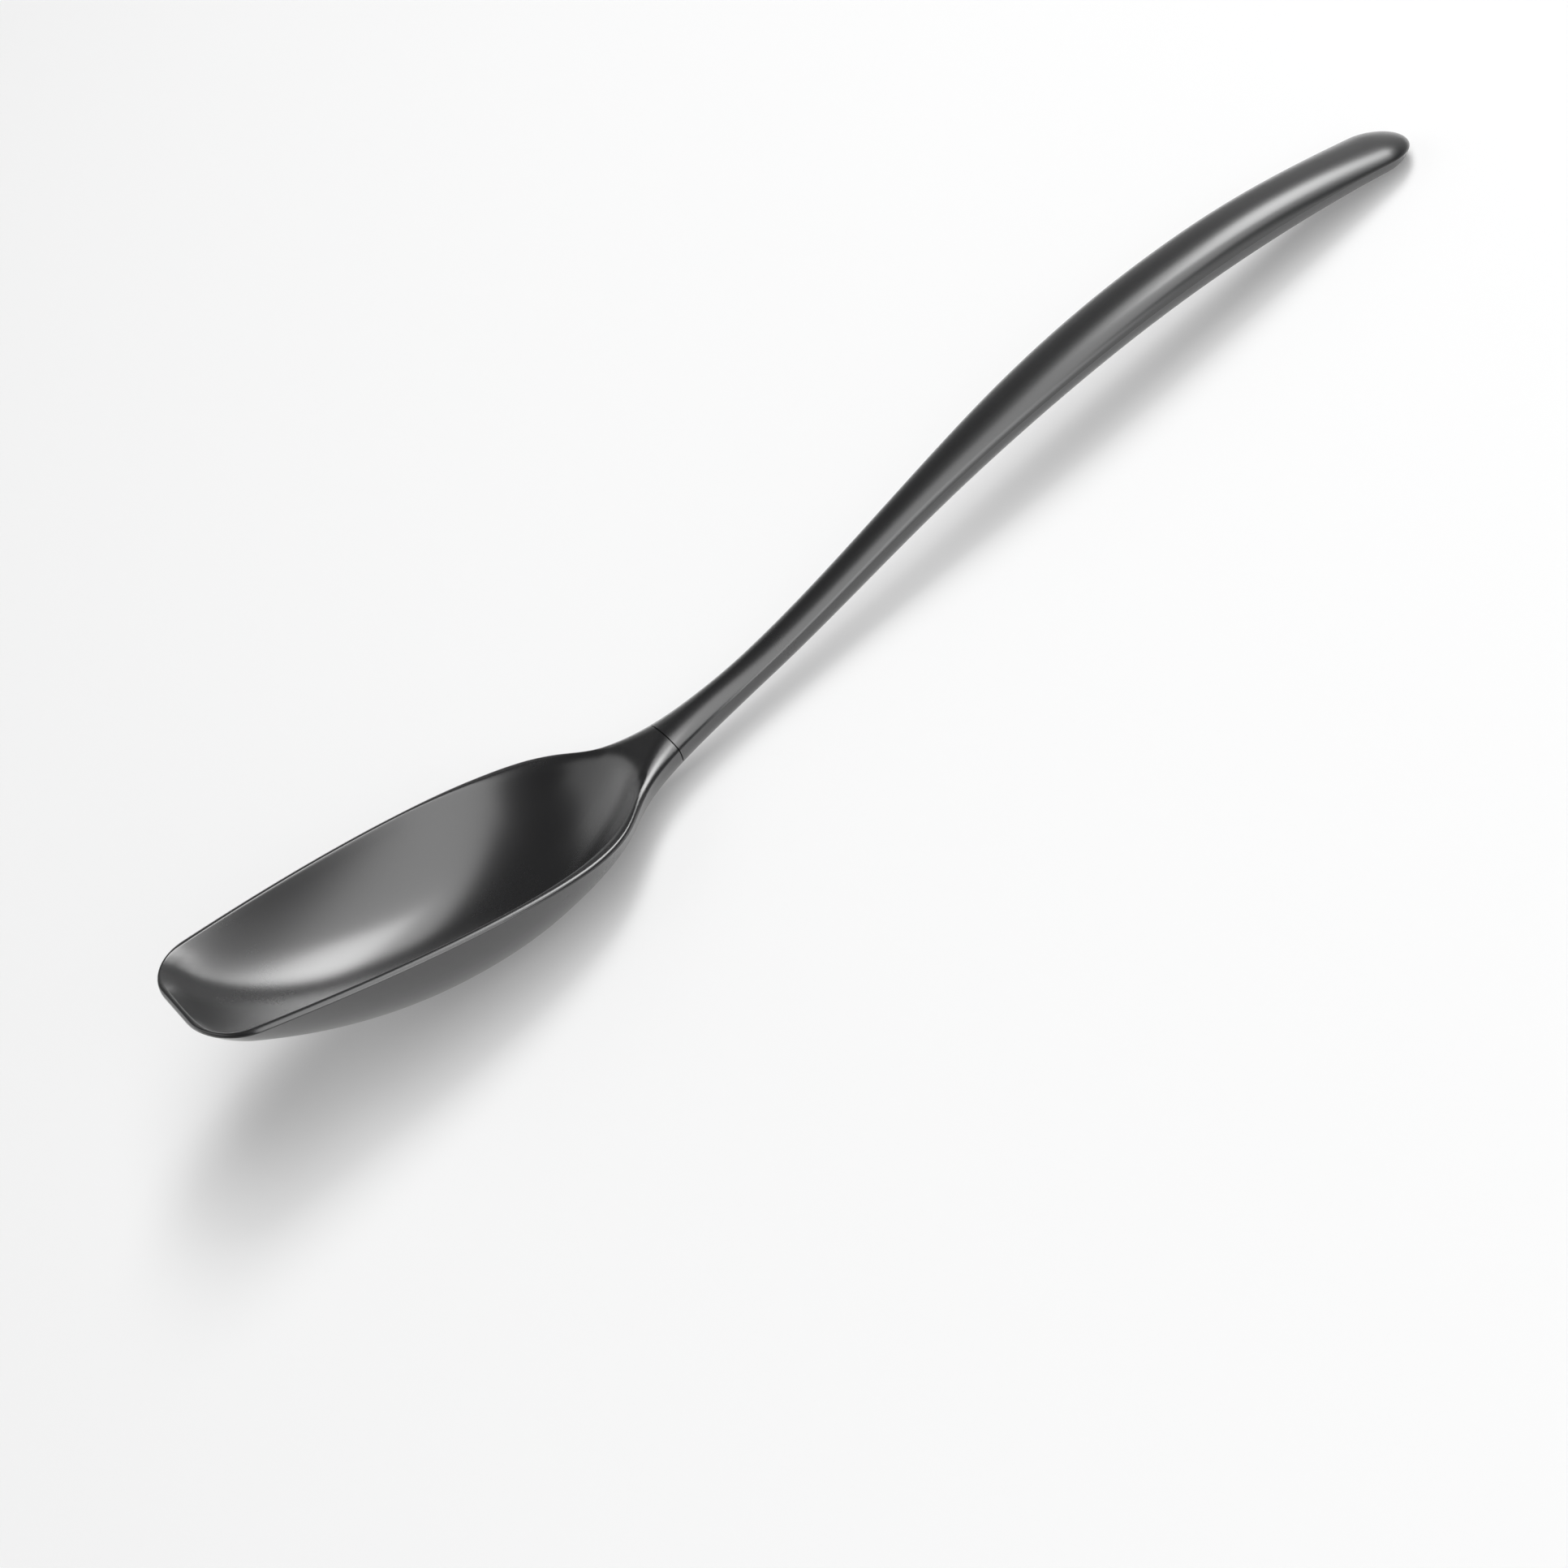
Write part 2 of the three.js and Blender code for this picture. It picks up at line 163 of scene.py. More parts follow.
class SpoonSizes(bpy.types.PropertyGroup):
    """Real sizes of the spoon.

    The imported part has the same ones, but plainer edges, dish corners and seam and a higher crown.
    """

    bowl_length: size("Bowl length", "From the front edge to the rear lip", 102)
    web_length: size("Web length", "From the rear lip to the seam", 9)
    neck_reach: size("Neck reach", "From the seam to the narrowest place", 24)
    grip_reach: size("Grip reach", "From the narrowest place to the grip", 118)
    tip_reach: size("Tip reach", "From the grip to the end of the handle", 49)

    front_width: size("Front width", "Width to which the bowl's sides run at the front", 44.4)
    bowl_width: size("Bowl width", "Greatest width of the bowl", 61.8)
    widest_at: size("Widest at", "Station of the greatest width", 60)
    side_bow_at: size("Side bow at", "Station to which the bowl's side bows out", 35)
    front_round_length: size("Front round length", "Length of the front corners", 10)
    front_round_inset: size("Front round inset", "Width of the front corners", 15.2)
    neck_width: size("Neck width", "Least width of the neck", 9.3)
    grip_width: size("Grip width", "Width of the grip", 18.1)
    tip_width: size("Tip width", "Width to which the handle runs at its tip", 19)
    tip_round: size("Tip round", "Length of the tip's rounding seen from above", 8)

    rim_edge: size("Rim edge", "Height of the rim above the parting line", 0.8)
    front_nose: size("Front nose", "Length of the rounding of the front edge", 0.7)
    arch_rise: size("Arch rise", "Height of the tip over the bowl's parting line", 48.5)
    arch_lead: size("Arch lead", "Length of the arch ahead of the rear lip", 24.5)
    crown_lead: size("Crown lead", "Length of the crown ahead of the rear lip", 10)
    shoulder_reach: size("Shoulder reach", "From the seam to the crown's shoulder", 5)
    shoulder_crown: size("Shoulder crown", "Height of the crown at its shoulder", 2.65)
    neck_crown: size("Neck crown", "Height of the crown at the neck", 2.36)
    grip_crown: size("Grip crown", "Height of the crown at the grip", 4.35)
    tip_crown: size("Tip crown", "Height of the crown at the tip", 2.0)
    front_edge: size("Front edge", "Depth of the front edge under the parting line", 0.63)
    front_lead: size("Front lead", "Length over which the front wall bends", 6.2)
    front_drop: size("Front drop", "Depth over which the front wall bends", 8.25)
    belly_at: size("Belly at", "Station of the deepest place", 51)
    belly_keel: size("Belly keel", "Depth of the belly under the parting line", 18.7)
    neck_keel: size("Neck keel", "Depth of the neck under the parting line", 4.1)
    grip_keel: size("Grip keel", "Depth of the grip under the parting line", 4.7)
    tip_keel: size("Tip keel", "Depth of the tip under the parting line", 4.25)
    tip_drop: size("Tip drop", "Length of the tip's rounding seen from the side", 7.5)

    side_land: size("Side land", "Width of the rim along the sides", 1.8)
    front_land: size("Front land", "Width of the rim along the front", 1.2)
    bowl_wall: size("Bowl wall", "Thickness of the bowl at its deepest place", 2.4)
    rear_lead: size("Rear lead", "Length over which the rear wall bends", 8)
    rear_drop: size("Rear drop", "Depth over which the rear wall bends", 5.6)
    lip: size("Lip", "Rounding of the rim's inner edge along the sides", 0.3)
    rear_lip: size("Rear lip", "Rounding of the rim's inner edge at the rear", 2.6)
    dish_corner_length: size("Dish corner length", "Length of the dish's front corners", 7.4)
    dish_corner_inset: size("Dish corner inset", "Width of the dish's front corners", 11.2)
    rim_round: size("Rim round", "Rounding of the rim's outer edge", 1.1)
    web_round: size("Web round", "Rounding of the web's edge", 4)
    web_round_lead: size("Web round lead", "Length ahead of the rear lip over which it grows", 8)

    seam_gap: size("Seam gap", "Gap between the two mouldings", 0.02)
    seam_groove: size("Seam groove", "Depth of the groove round the seam", 0.35)
    seam_flank: size("Seam flank", "Width of each flank of the seam's groove", 0.11)
    tang_length: size("Tang length", "Length of the tang behind the seam", 22)
    tang_clearance: size("Tang clearance", "Gap between the tang and its socket", 0.3)
    socket_wall: size("Socket wall", "Least wall round the socket", 1.7)

    rest_tilt: FloatProperty(
        name="Rest tilt",
        description="Tilt at which the belly and the tip rest on one table",
        default=0.26228123,
        unit="ROTATION",
    )
    rest_at: FloatVectorProperty(
        name="Rest place",
        description="Place of the front edge's parting line at rest",
        default=(-0.15205118, 0, 0.03408914),
        subtype="TRANSLATION",
        precision=5,
    )


class SpoonFinish(bpy.types.PropertyGroup):
    """Colours and gloss of the melamine."""

    charcoal: FloatVectorProperty(
        name="Charcoal",
        description="Main colour of the melamine",
        default=(0.0085, 0.0085, 0.0091),
        subtype="COLOR",
        min=0,
        max=1,
    )
    slate: FloatVectorProperty(
        name="Slate",
        description="Slightly paler colour of its clouds and flecks",
        default=(0.0135, 0.0136, 0.0144),
        subtype="COLOR",
        min=0,
        max=1,
    )
    roughness: FloatProperty(
        name="Roughness",
        description="Mean roughness of the satin surface",
        default=0.265,
        min=0,
        max=1,
        subtype="FACTOR",
    )
    refraction: FloatProperty(
        name="Refraction",
        description="Refractive index of moulded melamine",
        default=1.66,
        min=1,
        max=3,
    )
    skin: FloatProperty(
        name="Skin",
        description="Strength of the glossy skin that a polished mould leaves",
        default=0.8,
        min=0,
        max=1,
        subtype="FACTOR",
    )
    skin_roughness: FloatProperty(
        name="Skin roughness",
        description="Roughness of that skin",
        default=0.25,
        min=0,
        max=1,
        subtype="FACTOR",
    )


class SpoonStage(bpy.types.PropertyGroup):
    """Floor, lamps and camera."""

    floor: FloatVectorProperty(
        name="Floor",
        description="Colour of the floor",
        default=(0.93, 0.93, 0.93),
        subtype="COLOR",
        min=0,
        max=1,
    )
    floor_whiteness: FloatProperty(
        name="Floor whiteness",
        description="Share of plain white in the floor as it is seen",
        default=0.2,
        min=0,
        max=1,
        subtype="FACTOR",
    )
    surroundings: FloatProperty(
        name="Surroundings",
        description="Strength of the dim studio round the stage",
        default=0.05,
        min=0,
    )
    overhead_radiance: FloatProperty(
        name="Overhead lamp",
        description="Brightness of the long soft lamp over the spoon",
        default=2.2,
        min=0,
    )
    front_radiance: FloatProperty(
        name="Front lamp",
        description="Brightness of the low soft lamp on the near side",
        default=2.36,
        min=0,
    )
    accent_radiance: FloatProperty(
        name="Accent lamp",
        description="Brightness of the strip lamp beyond the handle",
        default=4.9,
        min=0,
    )
    fill_radiance: FloatProperty(
        name="Fill lamp",
        description="Brightness of the lamp behind the bowl",
        default=0.66,
        min=0,
    )
    camera_at: FloatVectorProperty(
        name="Camera",
        description="Place of the camera",
        default=(-0.15456785, -0.85201639, 0.48788761),
        subtype="TRANSLATION",
        precision=5,
    )
    camera_target: FloatVectorProperty(
        name="Target",
        description="Place that the camera looks at",
        default=(-0.03079254, -0.00425428, -0.01475787),
        subtype="TRANSLATION",
        precision=5,
    )
    camera_roll: FloatProperty(
        name="Roll",
        description="Turn of the camera about its line of sight",
        default=math.radians(-36.797995),
        unit="ROTATION",
    )
    camera_lens: FloatProperty(
        name="Lens",
        description="Focal length on a 36 mm sensor",
        default=113.553,
        min=1,
        unit="CAMERA",
    )


def along(*controls):
    """Points along a Bezier curve with these control points."""
    share = np.linspace(0, 1, CURVE_STEPS)[:, None]
    level = [np.array(control, float) for control in controls]
    while len(level) > 1:
        level = [first + (second - first) * share for first, second in zip(level, level[1:])]
    return level[0]


def sweep(start, end, eases):
    """Points along an S-curve between two stations that is level at both."""
    run = end[0] - start[0]
    leaving = (start[0] + run * eases[0], start[1])
    reaching = (end[0] - run * eases[1], end[1])
    return along(start, leaving, reaching, end)


def profile(*curves):
    """Turns curves that follow one another into a function of the station."""
    points = np.concatenate(curves)
    return lambda at: float(np.interp(at, points[:, 0], points[:, 1]))


def rounding(distance, length):
    """Quarter-round factor: 0 at an end, 1 from the rounding's length inwards."""
    left = 1 - min(max(distance / length, 0), 1)
    return math.sqrt(1 - left * left)


def smooth_step(share):
    """An even rise from 0 to 1 that is level at both ends."""
    share = min(max(share, 0), 1)
    return share * share * (3 - 2 * share)


def between(first, second, share):
    """The spot at a share of the way between two spots."""
    return tuple(a + (b - a) * share for a, b in zip(first, second))


class SpoonForm:
    """The spoon's sections, worked out from its sizes.

    A spot is a station along the spoon and a distance sideways. Heights stand square to the arch.
    """

    def __init__(self, sizes):
        s = self.sizes = sizes
        self.seam_at = s.bowl_length + s.web_length
        self.neck_at = self.seam_at + s.neck_reach
        self.grip_at = self.neck_at + s.grip_reach
        self.tip_at = self.grip_at + s.tip_reach
        crown_at = s.bowl_length - s.crown_lead
        front = (0, s.front_width / 2)
        widest = (s.widest_at, s.bowl_width / 2)
        narrowest = (self.neck_at, s.neck_width / 2)
        grip = (self.grip_at, s.grip_width / 2)
        tip = (self.tip_at, s.tip_width / 2)
        self.outline = profile(
            along(front, (s.side_bow_at, s.bowl_width / 2), widest),
            sweep(widest, narrowest, SHOULDER_EASE),
            sweep(narrowest, grip, GRIP_EASE),
            sweep(grip, tip, TIP_EASE),
        )
        arch_start = (s.bowl_length - s.arch_lead, 0)
        self.arch = profile(sweep(arch_start, (self.tip_at, s.arch_rise), ARCH_EASE))
        self.shoulder_at = self.seam_at + s.shoulder_reach
        shaft_at = (self.neck_at + self.grip_at) / 2
        crown_shoulder = (self.shoulder_at, s.shoulder_crown)
        crown_neck = (self.neck_at, s.neck_crown)
        crown_grip = (self.grip_at, s.grip_crown)
        self.crown_line = profile(
            sweep((crown_at, s.rim_edge), crown_shoulder, WEB_CROWN_EASE),
            sweep(crown_shoulder, crown_neck, NECK_CROWN_EASE),
            sweep(crown_neck, crown_grip, GRIP_CROWN_EASE),
            sweep(crown_grip, (self.tip_at, s.tip_crown), TIP_CROWN_EASE),
        )
        self.fullness = profile(
            sweep((self.neck_at, NECK_FULLNESS), (shaft_at, SHAFT_FULLNESS), GRIP_EASE),
            sweep((self.grip_at, SHAFT_FULLNESS), (self.tip_at, TIP_FULLNESS), TIP_EASE),
        )
        power_grip = (self.grip_at, GRIP_POWER)
        self.power = profile(
            sweep((crown_at, RIM_POWER), (s.bowl_length, NECK_POWER), NECK_CROWN_EASE),
            sweep((self.shoulder_at, NECK_POWER), power_grip, POWER_EASE),
            sweep(power_grip, (self.tip_at, TIP_POWER), TIP_EASE),
        )
        belly = (s.belly_at, s.belly_keel)
        keel_neck = (self.neck_at, s.neck_keel)
        keel_grip = (self.grip_at, s.grip_keel)
        front_bend = (s.front_lead, s.front_edge + s.front_drop)
        belly_bend = s.belly_at * (1 - BELLY_EASE)
        self.keel_line = profile(
            along((0, s.front_edge), front_bend, (belly_bend, s.belly_keel), belly),
            sweep(belly, keel_neck, KEEL_EASE),
            sweep(keel_neck, keel_grip, GRIP_EASE),
            sweep(keel_grip, (self.tip_at, s.tip_keel), TIP_EASE),
        )
        depth = s.rim_edge + s.belly_keel - s.bowl_wall
        deepest = (s.belly_at, depth)
        rear_bend = s.belly_at + (s.bowl_length - s.belly_at) * DISH_EASE
        self.dish_line = profile(
            along(
                (s.front_land, 0),
                (s.front_land + s.front_lead, s.front_drop),
                (belly_bend, depth),
                deepest,
            ),
            along(
                deepest,
                (rear_bend, depth),
                (s.bowl_length - s.rear_lead, s.rear_drop),
                (s.bowl_length, 0),
            ),
        )
        tilt = Matrix.Rotation(s.rest_tilt, 4, "Y")
        self.rest = Matrix.Translation(s.rest_at) @ tilt

    def half_width(self, at):
        s = self.sizes
        corner = s.front_round_inset * (1 - rounding(at, s.front_round_length))
        return (self.outline(at) - corner) * rounding(self.tip_at - at, s.tip_round)

    def end_rounding(self, at):
        s = self.sizes
        return rounding(at, s.front_nose) * rounding(self.tip_at - at, s.tip_drop)

    def crown(self, at):
        return self.crown_line(at) * self.end_rounding(at)

    def keel(self, at):
        return self.keel_line(at) * self.end_rounding(at)

    def dish_half_width(self, at):
        s = self.sizes
        if at > s.widest_at:
            rear = rounding(s.bowl_length - at, s.bowl_length - s.widest_at)
            return (s.bowl_width / 2 - s.side_land) * rear
        corner = s.dish_corner_inset * (1 - rounding(at - s.front_land, s.dish_corner_length))
        return self.outline(at) - s.side_land - corner

    def place(self, at, sideways, upwards):
        """A point of the section at a station, square to the arch, with the spoon at rest."""
        rise = self.arch(at + SLOPE_STEP) - self.arch(at - SLOPE_STEP)
        normal = Vector((-rise, 0, 2 * SLOPE_STEP)).normalized()
        point = Vector((at, sideways, self.arch(at))) + normal * upwards
        return self.rest @ point

    def edge_round(self, at):
        """Width of the crown's edge: narrow on the rim, wide on the web, whole on the neck."""
        s = self.sizes
        from_rim = (at - s.bowl_length + s.web_round_lead) / s.web_round_lead
        to_neck = (at - s.bowl_length) / (self.shoulder_at - s.bowl_length)
        web = s.rim_round + (s.web_round - s.rim_round) * smooth_step(from_rim)
        return web + (self.half_width(at) - web) * smooth_step(to_neck)

    def top(self, spot):
        """A point of the crown: the rim's land, the web and the handle's back."""
        at, sideways = spot
        inwards = max(self.half_width(at) - abs(sideways), 0)
        share = max(1 - inwards / self.edge_round(at), 0)
        height = self.crown(at) * (1 - share ** self.fullness(at)) ** self.power(at)
        return self.place(at, sideways, height)

    def underside(self, spot):
        """A point of the keel: the bowl's belly and the underside of the handle."""
        at, sideways = spot
        share = min(abs(sideways) / self.half_width(at), 1)
        return self.place(at, sideways, -self.keel(at) * (1 - share**KEEL_FULLNESS))

    def inside(self, spot):
        """A point of the dish, which hangs from the rim."""
        at, sideways = spot
        reach = self.dish_half_width(at)
        share = min(abs(sideways) / reach, 1) if reach else 1
        depth = self.dish_line(at) * (1 - share**DISH_FULLNESS)
        return self.place(at, sideways, self.crown(at) - depth)

    def in_dish(self, spot):
        s = self.sizes
        if not s.front_land < spot[0] < s.bowl_length:
            return False
        return abs(spot[1]) < self.dish_half_width(spot[0])

    def lip_spot(self, centre, spot):
        """Where the way from the bowl's centre to a spot of the outline crosses the lip."""
        low, high = 0, 1
        for _ in range(BISECTIONS):
            middle = (low + high) / 2
            if self.in_dish(between(centre, spot, middle)):
                low = middle
            else:
                high = middle
        return between(centre, spot, low)

    def lip_length(self, at):
        """Length of the lip's rounding, which is softer towards the rear."""
        s = self.sizes
        softness = smooth_step((at - s.widest_at) / (s.bowl_length - s.widest_at))
        return s.lip + (s.rear_lip - s.lip) * softness

    def ring(self, at, sides):
        """The outer section at a station, from +Y over the crown to -Y and back under the keel."""
        places = []
        for side in range(sides):
            angle = 2 * math.pi * side / sides
            spot = (at, self.half_width(at) * math.cos(angle))
            places.append(self.top(spot) if angle < math.pi else self.underside(spot))
        return places

    def sunk_ring(self, places, shift):
        """A ring at the seam that is moved along the arch and drawn in by the groove's depth."""
        move = self.place(self.seam_at + shift, 0, 0) - self.place(self.seam_at, 0, 0)
        middle = sum(places, Vector()) / len(places)
        depth = self.sizes.seam_groove
        return [place + move + (middle - place).normalized() * depth for place in places]

    def tang_ring(self, at, clearance, sides):
        """The section of the tang, or of its socket with a clearance."""
        s = self.sizes
        margin = s.socket_wall + s.tang_clearance - clearance
        half_width = s.neck_width / 2 - margin
        half_height = (self.crown_line(self.neck_at) + s.neck_keel) / 2 - margin
        middle = (self.crown_line(at) - self.keel_line(at)) / 2
        power = 2 / TANG_SQUARENESS
        places = []
        for side in range(sides):
            angle = 2 * math.pi * side / sides
            across = math.copysign(abs(math.cos(angle)) ** power, math.cos(angle))
            up = math.copysign(abs(math.sin(angle)) ** power, math.sin(angle))
            places.append(self.place(at, half_width * across, middle + half_height * up))
        return places


def capped_loop(bm, places, centre):
    """A fan of faces whose edge runs through the places. Gives the edge's vertices in order."""
    made = bmesh.ops.create_circle(
        bm, cap_ends=True, cap_tris=True, segments=len(places), radius=MM
    )["verts"]
    hub = max(made, key=lambda vertex: len(vertex.link_edges))
    hub.co = centre
    loop = [vertex for vertex in made if vertex is not hub]
    for vertex, place in zip(loop, places):
        vertex.co = place
    return loop


def loop_edges(bm, loop):
    return [bm.edges.get(pair) for pair in zip(loop, loop[1:] + loop[:1])]


def grow(bm, loop, places):
    """Extrudes a closed loop of edges to new places. Gives the new loop in the same order."""
    made = bmesh.ops.extrude_edge_only(bm, edges=loop_edges(bm, loop))["geom"]
    fresh = {item for item in made if isinstance(item, bmesh.types.BMVert)}
    grown = []
    for vertex, place in zip(loop, places):
        twins = (edge.other_vert(vertex) for edge in vertex.link_edges)
        twin = next(other for other in twins if other in fresh)
        twin.co = place
        grown.append(twin)
    return grown


def cap(bm, loop):
    """Closes a small loop with a fan of faces."""
    face = bmesh.ops.contextual_create(bm, geom=loop_edges(bm, loop))["faces"]
    bmesh.ops.poke(bm, faces=face)


def spaced(start, end, count):
    """Stations from a start up to, and without, an end."""
    return [start + (end - start) * step / count for step in range(count)]


def closing_up(start, end, count):
    """Stations that close up towards the end, without the end."""
    return [start + (end - start) * math.sin(math.pi / 2 * step / count) for step in range(count)]


def head_outline(form, end):
    """Spots round the bowl head, from the front's middle by +Y to the seam and back by -Y."""
    s = form.sizes
    front = form.half_width(0)
    half = [(0, front * step / FRONT_EDGES) for step in range(FRONT_EDGES)]
    opening = closing_up(s.front_round_length, 0, CORNER_EDGES)
    stations = [0, *reversed(opening[1:])]
    stations += spaced(s.front_round_length, s.widest_at, SIDE_EDGES)
    stations += spaced(s.widest_at, end, SHOULDER_EDGES)
    half += [(at, form.half_width(at)) for at in stations]
    seam_start = len(half)
    reach = form.half_width(end)
    for step in range(SEAM_EDGES + 1):
        half.append((end, reach * math.cos(math.pi / 2 * step / SEAM_EDGES)))
    mirrored = [(at, -sideways) for at, sideways in half[-2:0:-1]]
    return half + mirrored, seam_start


def add_inside(bm, form, outline):
    """Grows the dish, its lip and the rim's land from the dish's deepest place to the outline."""
    s = form.sizes
    centre = (s.belly_at, 0)
    lips = [form.lip_spot(centre, spot) for spot in outline]
    dish_edges, land_edges = [], []
    for lip, spot in zip(lips, outline):
        length = form.lip_length(lip[0])
        inwards = length / math.dist(lip, centre)
        outwards = min(length / math.dist(lip, spot), LIP_LIMIT)
        dish_edges.append(between(lip, centre, inwards))
        land_edges.append(between(lip, spot, outwards))
    shares = np.linspace(FIRST_SHARE, 1, DISH_LOOPS)
    first = [form.inside(between(centre, spot, shares[0])) for spot in dish_edges]
    loop = capped_loop(bm, first, form.inside(centre))
    for share in shares[1:]:
        loop = grow(bm, loop, [form.inside(between(centre, spot, share)) for spot in dish_edges])
    corners = [form.inside(spot) for spot in lips]
    starts = [form.inside(spot) for spot in dish_edges]
    ends = [form.top(spot) for spot in land_edges]
    for step in range(1, LIP_LOOPS + 1):
        share = step / LIP_LOOPS
        places = []
        for start, corner, end in zip(starts, corners, ends):
            bend = start.lerp(corner, share), corner.lerp(end, share)
            places.append(bend[0].lerp(bend[1], share))
        loop = grow(bm, loop, places)
    for step in range(1, RIM_LOOPS + 1):
        share = 1 - (1 - step / RIM_LOOPS) ** RIM_CLOSING
        spots = [between(land, spot, share) for land, spot in zip(land_edges, outline)]
        loop = grow(bm, loop, [form.top(spot) for spot in spots])
    return loop


def add_belly(bm, form, outline):
    """Grows the outside of the bowl from its deepest place to the outline."""
    centre = (form.sizes.belly_at, 0)
    first = [form.underside(between(centre, spot, FIRST_SHARE)) for spot in outline]
    loop = capped_loop(bm, first, form.underside(centre))
    for step in range(1, BELLY_LOOPS + 1):
        share = 1 - (1 - FIRST_SHARE) * (1 - step / BELLY_LOOPS) ** BELLY_CLOSING
        loop = grow(bm, loop, [form.underside(between(centre, spot, share)) for spot in outline])
    return loop


def add_tang(bm, form, loop, end):
    """Grows the groove's side and the tang from the seam's edge."""
    s = form.sizes
    loop = grow(bm, loop, form.sunk_ring([vertex.co for vertex in loop], s.seam_flank))
    stations = spaced(end + s.seam_flank, form.seam_at + s.tang_length, TANG_LOOPS)
    stations.append(form.seam_at + s.tang_length)
    for at in stations:
        loop = grow(bm, loop, form.tang_ring(at, 0, len(loop)))
    cap(bm, loop)


def cut_foot(bm):
    """Cuts the flat that the belly rests on, along the table."""
    everything = [*bm.verts, *bm.edges, *bm.faces]
    cut = bmesh.ops.bisect_plane(
        bm, geom=everything, plane_co=(0, 0, 0), plane_no=(0, 0, -1), clear_outer=True
    )["geom_cut"]
    edges = [item for item in cut if isinstance(item, bmesh.types.BMEdge)]
    bmesh.ops.contextual_create(bm, geom=edges)


def finish_piece(bm, name, node, material):
    """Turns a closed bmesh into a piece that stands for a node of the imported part."""
    bmesh.ops.recalc_face_normals(bm, faces=bm.faces)
    for face in bm.faces:
        face.smooth = True
    for edge in bm.edges:
        edge.smooth = edge.calc_face_angle(0) < SHARP_ANGLE
    mesh = bpy.data.meshes.new(name)
    bm.to_mesh(mesh)
    bm.free()
    piece = bpy.data.objects.new(name, mesh)
    bpy.context.scene.collection.objects.link(piece)
    mesh.materials.append(material)
    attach(piece, "root")
    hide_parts(node)


class Socket:
    """An output of a shader tree. Sums and products of sockets add Math nodes."""

    def __init__(self, tree, output):
        self.tree = tree
        self.output = output

    def node(self, kind, settings=None, inputs=None, output=0):
        """Adds a node, with its settings set first, and gives one of its outputs."""
        node = self.tree.nodes.new(kind)
        for key, value in (settings or {}).items():
            setattr(node, key, value)
        for key, value in (inputs or {}).items():
            if isinstance(value, Socket):
                self.tree.links.new(value.output, node.inputs[key])
            else:
                node.inputs[key].default_value = value
        return Socket(self.tree, node.outputs[output]) if node.outputs else None

    def math(self, operation, first, second):
        return self.node("ShaderNodeMath", {"operation": operation}, {0: first, 1: second})

    def __add__(self, other):
        return self.math("ADD", self, other)

    def __radd__(self, other):
        return self.math("ADD", other, self)

    def __sub__(self, other):
        return self.math("SUBTRACT", self, other)

    def __rsub__(self, other):
        return self.math("SUBTRACT", other, self)

    def __mul__(self, other):
        return self.math("MULTIPLY", self, other)

    def __rmul__(self, other):
        return self.math("MULTIPLY", other, self)


def new_material(name):
    """A material with only an output, and a socket of its tree to build from."""
    material = bpy.data.materials.new(name)
    material.use_nodes = True
    tree = material.node_tree
    tree.nodes.clear()
    return material, Socket(tree, None)


def show(start, shader):
    """Links a shader to the material's output."""
    start.node("ShaderNodeOutputMaterial", inputs={"Surface": shader})


def noise(start, place, kind):
    """A soft noise about a half, of a kind that has its features per metre and its detail."""
    scale, detail = kind
    inputs = {"Vector": place, "Scale": scale, "Detail": detail, "Roughness": NOISE_ROUGHNESS}
    return start.node("ShaderNodeTexNoise", inputs=inputs)


def melamine(finish):
    """Charcoal melamine: faint clouds and flecks in the colour, and a fine moulded grain."""
    found = bpy.data.materials.get("charcoal_melamine")
    if found:
        return found
    material, start = new_material("charcoal_melamine")
    place = start.node("ShaderNodeTexCoord", output="Object")
    flecks = noise(start, place, FLECKS)
    paleness = noise(start, place, CLOUDS) * CLOUD_SHARE + flecks * FLECK_SHARE
    color = start.node(
        "ShaderNodeMix",
        {"data_type": "RGBA"},
        {"Factor": paleness, 6: (*finish.charcoal, 1), 7: (*finish.slate, 1)},
        output=2,
    )
    station = start.node("ShaderNodeSeparateXYZ", inputs={0: place}, output="X")
    dullness = start.node(
        "ShaderNodeMapRange",
        {"interpolation_type": "SMOOTHSTEP"},
        {"Value": station, "From Min": DULL_FROM, "From Max": DULL_TO, "To Max": GRIP_DULLNESS},
    )
    least = finish.roughness - (HANDLING_ROUGHNESS + FLECK_ROUGHNESS) / 2
    handling = noise(start, place, HANDLING) * HANDLING_ROUGHNESS
    roughness = least + dullness + handling + flecks * FLECK_ROUGHNESS
    relief = noise(start, place, GRAIN) * GRAIN_SHARE + noise(start, place, RIPPLE)
    bump = start.node(
        "ShaderNodeBump",
        inputs={"Strength": RELIEF_STRENGTH, "Distance": RELIEF_HEIGHT, "Height": relief},
    )
    shader = start.node(
        "ShaderNodeBsdfPrincipled",
        inputs={
            "Base Color": color,
            "Roughness": roughness,
            "Normal": bump,
            "IOR": finish.refraction,
            "Coat Weight": finish.skin,
            "Coat Roughness": finish.skin_roughness,
        },
    )
    show(start, shader)
    return material


